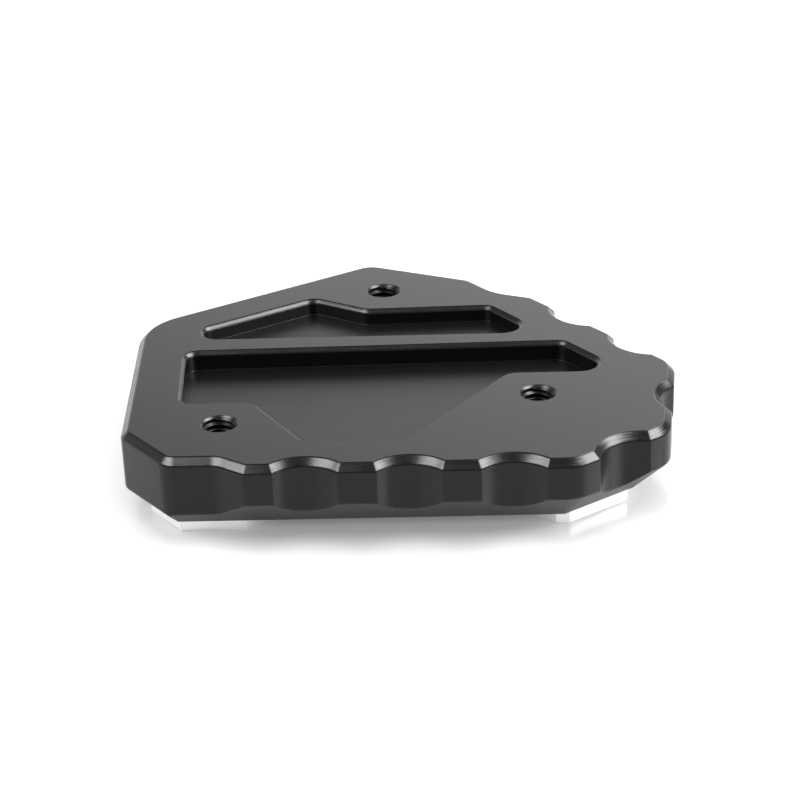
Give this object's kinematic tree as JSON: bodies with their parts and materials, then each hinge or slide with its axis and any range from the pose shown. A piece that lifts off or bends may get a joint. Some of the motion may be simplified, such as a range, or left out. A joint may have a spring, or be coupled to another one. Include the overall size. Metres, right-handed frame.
{
  "type": "kickstand foot enlarger",
  "caption": "Fluted, bevelled aluminium plate with two shallow pockets, and a clamp plate below that grips a motorcycle side stand's foot.",
  "frame": {"origin": "middle of the part's box, on the clamp plate's face that it lies on", "axes": "+Z out of the ground face, +Y from the fluted front edge towards the back screw, +X towards the fluted right edge"},
  "size_m": [0.1018, 0.0882, 0.0175],
  "materials": {
    "anodised_base": "dark anodised, satin faces and milled bright bevels",
    "machined_clamp": "plain, fine machined",
    "steel_screws": "plain steel"
  },
  "bodies": {
    "root": {"base_plate": "anodised_base", "clamp_plate": "machined_clamp", "clamp_screws": "steel_screws"}
  },
  "joints": []
}
